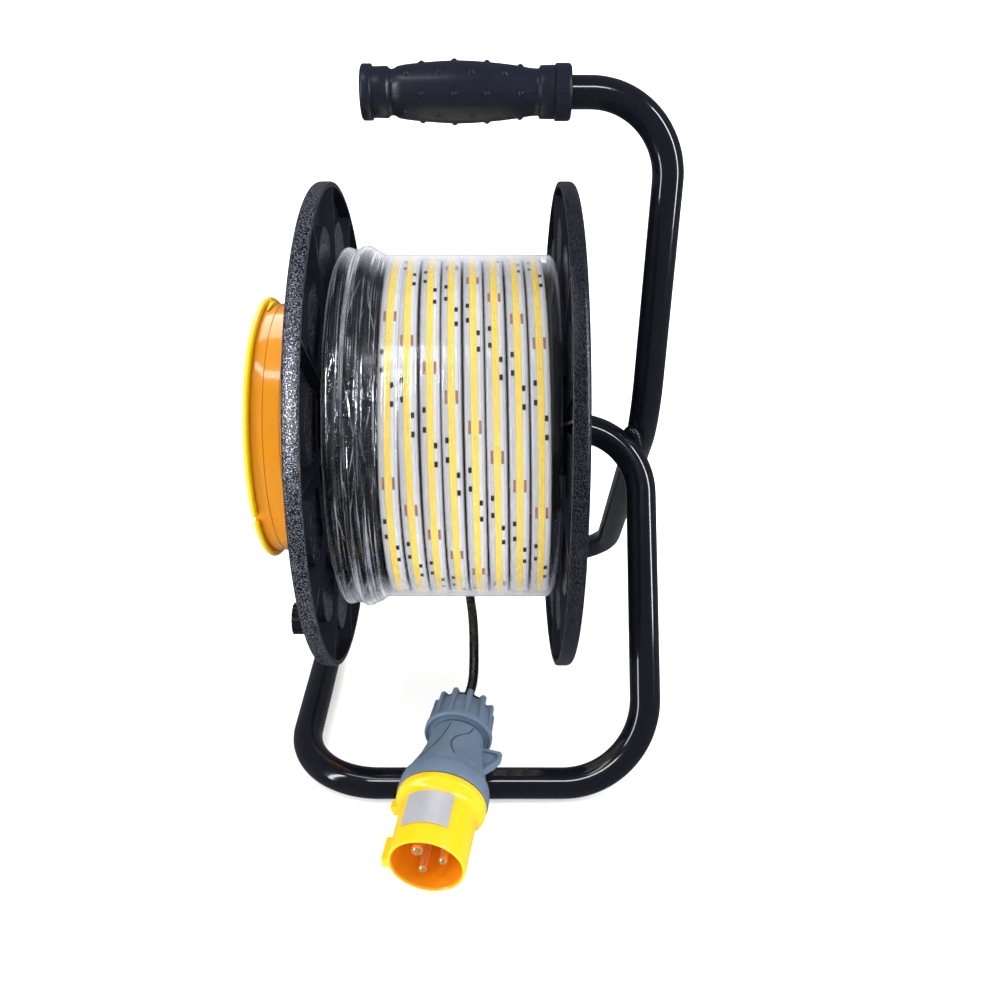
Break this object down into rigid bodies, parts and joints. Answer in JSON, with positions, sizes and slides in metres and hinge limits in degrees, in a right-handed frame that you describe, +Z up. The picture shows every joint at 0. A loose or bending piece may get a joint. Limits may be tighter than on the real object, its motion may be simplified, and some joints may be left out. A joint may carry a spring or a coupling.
{
  "type": "led strip light",
  "caption": "LED strip light wound on a plastic drum that turns on a bent steel tube stand with a moulded carrying grip, with a short lead to a yellow and grey industrial plug.",
  "frame": {"origin": "middle of the reel's floor plan, on the floor it stands on, with the lead and plug left out", "axes": "+X along the drum's axle away from the yellow hub cover, +Y to the back, away from the plug, +Z up"},
  "size_m": [0.2691, 0.4265, 0.4381],
  "materials": {
    "steel_black": "gloss black powder coat on bent steel tube",
    "grip_plastic": "moulded dark navy-black soft plastic with raised dots",
    "drum_plastic": "black moulded plastic, spark-eroded grain on the rims",
    "led_strip": "clear-jacketed white strip with a yellow phosphor line",
    "cable_black": "black cable sheath",
    "clear_film": "clear glossy stretch film with wrinkles",
    "cover_yellow": "glossy yellow moulded plastic",
    "plug_grey": "satin blue-grey moulded plastic",
    "plug_yellow": "satin yellow moulded plastic",
    "label_silver": "bare silver foil label",
    "pin_brass": "polished brass"
  },
  "bodies": {
    "stand": {"stand_tube": "steel_black", "handle_grip": "grip_plastic", "axle_cap": "drum_plastic", "supply_cord": "cable_black", "gland_nut": "plug_grey", "plug_body": "plug_grey", "plug_shroud": "plug_yellow", "plug_label": "label_silver", "pin_earth": "pin_brass", "pin_line": "pin_brass", "pin_neutral": "pin_brass"},
    "drum": {"flange_left": "drum_plastic", "flange_right": "drum_plastic", "drum_barrel": "drum_plastic", "strip_coil": "led_strip", "cable_coil": "cable_black", "stretch_film": "clear_film", "hub_cover": "cover_yellow"},
    "knob": {"crank_knob": "drum_plastic"}
  },
  "joints": [
    {"name": "drum_spin", "type": "hinge", "parent": "stand", "child": "drum", "pos_m": [0.01196, -0.022, 0.2092], "axis": [1, 0, 0], "continuous": true},
    {"name": "knob_spin", "type": "hinge", "parent": "drum", "child": "knob", "pos_m": [-0.09734, -0.1382, 0.12934], "axis": [1, 0, 0], "continuous": true}
  ]
}
